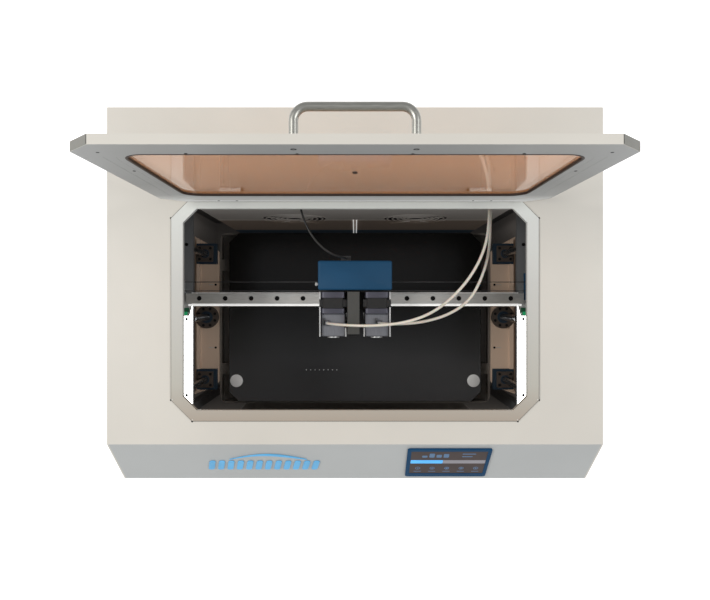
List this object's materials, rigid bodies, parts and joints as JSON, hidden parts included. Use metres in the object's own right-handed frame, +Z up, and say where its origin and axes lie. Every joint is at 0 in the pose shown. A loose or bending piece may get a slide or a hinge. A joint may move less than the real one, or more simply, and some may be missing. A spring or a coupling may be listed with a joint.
{
  "type": "fdm 3d printer",
  "caption": "Enclosed desktop filament 3D printer with a hinged tinted top lid, a front door, a gantry head, a lifting bed and a sloped touch-screen console.",
  "frame": {"origin": "under the middle of the whole box with the lid standing open, at the level of the feet", "axes": "+Z up, +X to the user's right, -Y towards the user"},
  "size_m": [0.646, 0.641, 0.91],
  "materials": {
    "body_paint": "satin off-white powder coat with a fine orange peel",
    "console_paint": "satin light grey powder coat",
    "rim_paint": "satin pale grey paint",
    "liner_paint": "satin grey paint",
    "dark_metal": "satin black-blue paint",
    "bracket_paint": "satin tan anodised plate",
    "steel": "brushed and lightly oiled",
    "plate_aluminium": "brushed plate",
    "blue_plastic": "satin moulded blue",
    "black_plastic": "matt black moulding",
    "motor_metal": "laminated steel stack between grey end caps",
    "belt_rubber": "black toothed belt",
    "tube_plastic": "translucent ivory",
    "lamp": "diffuse white light cover",
    "tinted_pane": "clear brown tint",
    "bed_glass": "dark polished build plate",
    "screen": "blue-black bezel with a lit panel",
    "badge_blue": "satin sky blue",
    "foot_rubber": "matt black rubber"
  },
  "bodies": {
    "cabinet": {"base_pan": "liner_paint", "feet": "foot_rubber", "side_panels": "body_paint", "top_panel": "body_paint", "console_panel": "console_paint", "front_panel": "body_paint", "rear_panel": "body_paint", "opening_rim": "rim_paint", "touch_screen": "screen", "badge": "badge_blue", "door_tunnel": "liner_paint", "chamber_walls": "liner_paint", "heater_cover": "liner_paint", "fan_frames": "black_plastic", "electronics": "plate_aluminium", "power_inlet": "black_plastic", "spool_arms": "black_plastic", "line_fittings": "black_plastic", "light_bars": "lamp", "y_rails": "steel", "drive_belts": "belt_rubber", "drive_motors": "motor_metal", "guide_frame": "plate_aluminium", "z_guides": "steel", "hinge_leaves": "steel", "head_lines_rear": "tube_plastic"},
    "gantry": {"x_beam": "plate_aluminium", "x_rail": "steel", "beam_brackets": "plate_aluminium", "y_carriages": "steel", "x_belt": "belt_rubber", "x_motor": "motor_metal", "head_lines_front": "tube_plastic"},
    "head": {"head_carriage": "dark_metal", "head_cover": "blue_plastic", "extruder_motors": "motor_metal", "feeders": "plate_aluminium", "hotends": "plate_aluminium"},
    "bed": {"bed_plate": "bed_glass", "bed_tray": "dark_metal", "bed_brackets": "bracket_paint", "bed_slides": "steel"},
    "lid": {"lid_frame": "body_paint", "lid_inner_sheet": "liner_paint", "lid_window": "tinted_pane", "lid_handle": "steel"},
    "door": {"door_frame": "body_paint", "door_window": "tinted_pane", "door_handle": "steel"},
    "left_fan": {"fan_rotor_left": "black_plastic"},
    "right_fan": {"fan_rotor_right": "black_plastic"},
    "left_screw": {"ball_screw_left": "steel"},
    "right_screw": {"ball_screw_right": "steel"},
    "z_drive": {"z_drive_pulley": "plate_aluminium"},
    "y_drive": {"y_drive_shaft": "steel"},
    "y_idlers": {"y_idler_pulleys": "plate_aluminium"},
    "x_drive": {"x_drive_pulley": "plate_aluminium"},
    "x_idler": {"x_idler_pulley": "plate_aluminium"},
    "switch": {"power_switch": "black_plastic"}
  },
  "joints": [
    {"name": "lid_hinge", "type": "hinge", "parent": "cabinet", "child": "lid", "pos_m": [0, 0.107, 0.6183], "axis": [1, 0, 0], "range_deg": [0, 90]},
    {"name": "door_hinge", "type": "hinge", "parent": "cabinet", "child": "door", "pos_m": [-0.246, -0.2845, 0.25], "axis": [0, 0, -1], "range_deg": [0, 110]},
    {"name": "gantry_slide", "type": "slide", "parent": "cabinet", "child": "gantry", "axis": [0, 1, 0], "range_m": [-0.139, 0.145], "deforming": ["head_lines_front", "head_lines_rear"]},
    {"name": "head_slide", "type": "slide", "parent": "gantry", "child": "head", "axis": [1, 0, 0], "range_m": [-0.2, 0.2], "deforming": ["head_lines_front", "head_lines_rear"]},
    {"name": "bed_slide", "type": "slide", "parent": "cabinet", "child": "bed", "axis": [0, 0, 1], "range_m": [-0.234, 0.066]},
    {"name": "left_screw_spin", "type": "hinge", "parent": "cabinet", "child": "left_screw", "pos_m": [-0.26, -0.0565, 0.2], "axis": [0, 0, 1], "continuous": true},
    {"name": "right_screw_spin", "type": "hinge", "parent": "cabinet", "child": "right_screw", "pos_m": [0.26, -0.0565, 0.2], "axis": [0, 0, 1], "continuous": true},
    {"name": "z_drive_spin", "type": "hinge", "parent": "cabinet", "child": "z_drive", "pos_m": [0, 0.1635, 0.03], "axis": [0, 0, 1], "continuous": true},
    {"name": "y_drive_spin", "type": "hinge", "parent": "cabinet", "child": "y_drive", "pos_m": [0, -0.2535, 0.462], "axis": [1, 0, 0], "continuous": true},
    {"name": "y_idler_spin", "type": "hinge", "parent": "cabinet", "child": "y_idlers", "pos_m": [0, 0.1865, 0.462], "axis": [1, 0, 0], "continuous": true},
    {"name": "x_drive_spin", "type": "hinge", "parent": "gantry", "child": "x_drive", "pos_m": [0.286, -0.006, 0.475], "axis": [0, 0, 1], "continuous": true},
    {"name": "x_idler_spin", "type": "hinge", "parent": "gantry", "child": "x_idler", "pos_m": [-0.286, -0.006, 0.475], "axis": [0, 0, 1], "continuous": true},
    {"name": "left_fan_spin", "type": "hinge", "parent": "cabinet", "child": "left_fan", "pos_m": [-0.107, 0.1235, 0.318], "axis": [0, 1, 0], "continuous": true},
    {"name": "right_fan_spin", "type": "hinge", "parent": "cabinet", "child": "right_fan", "pos_m": [0.107, 0.1235, 0.318], "axis": [0, 1, 0], "continuous": true},
    {"name": "switch_rock", "type": "hinge", "parent": "cabinet", "child": "switch", "pos_m": [-0.2225, 0.2205, 0.074], "axis": [1, 0, 0], "range_deg": [0, 16]}
  ],
  "couplings": [
    {"joint": "left_screw_spin", "follows": "bed_slide", "rad_per_m": 1570.8},
    {"joint": "right_screw_spin", "follows": "bed_slide", "rad_per_m": 1570.8},
    {"joint": "z_drive_spin", "follows": "bed_slide", "rad_per_m": 1570.8},
    {"joint": "y_drive_spin", "follows": "gantry_slide", "rad_per_m": -157.08},
    {"joint": "y_idler_spin", "follows": "gantry_slide", "rad_per_m": -157.08},
    {"joint": "x_drive_spin", "follows": "head_slide", "rad_per_m": 157.08},
    {"joint": "x_idler_spin", "follows": "head_slide", "rad_per_m": 157.08}
  ]
}
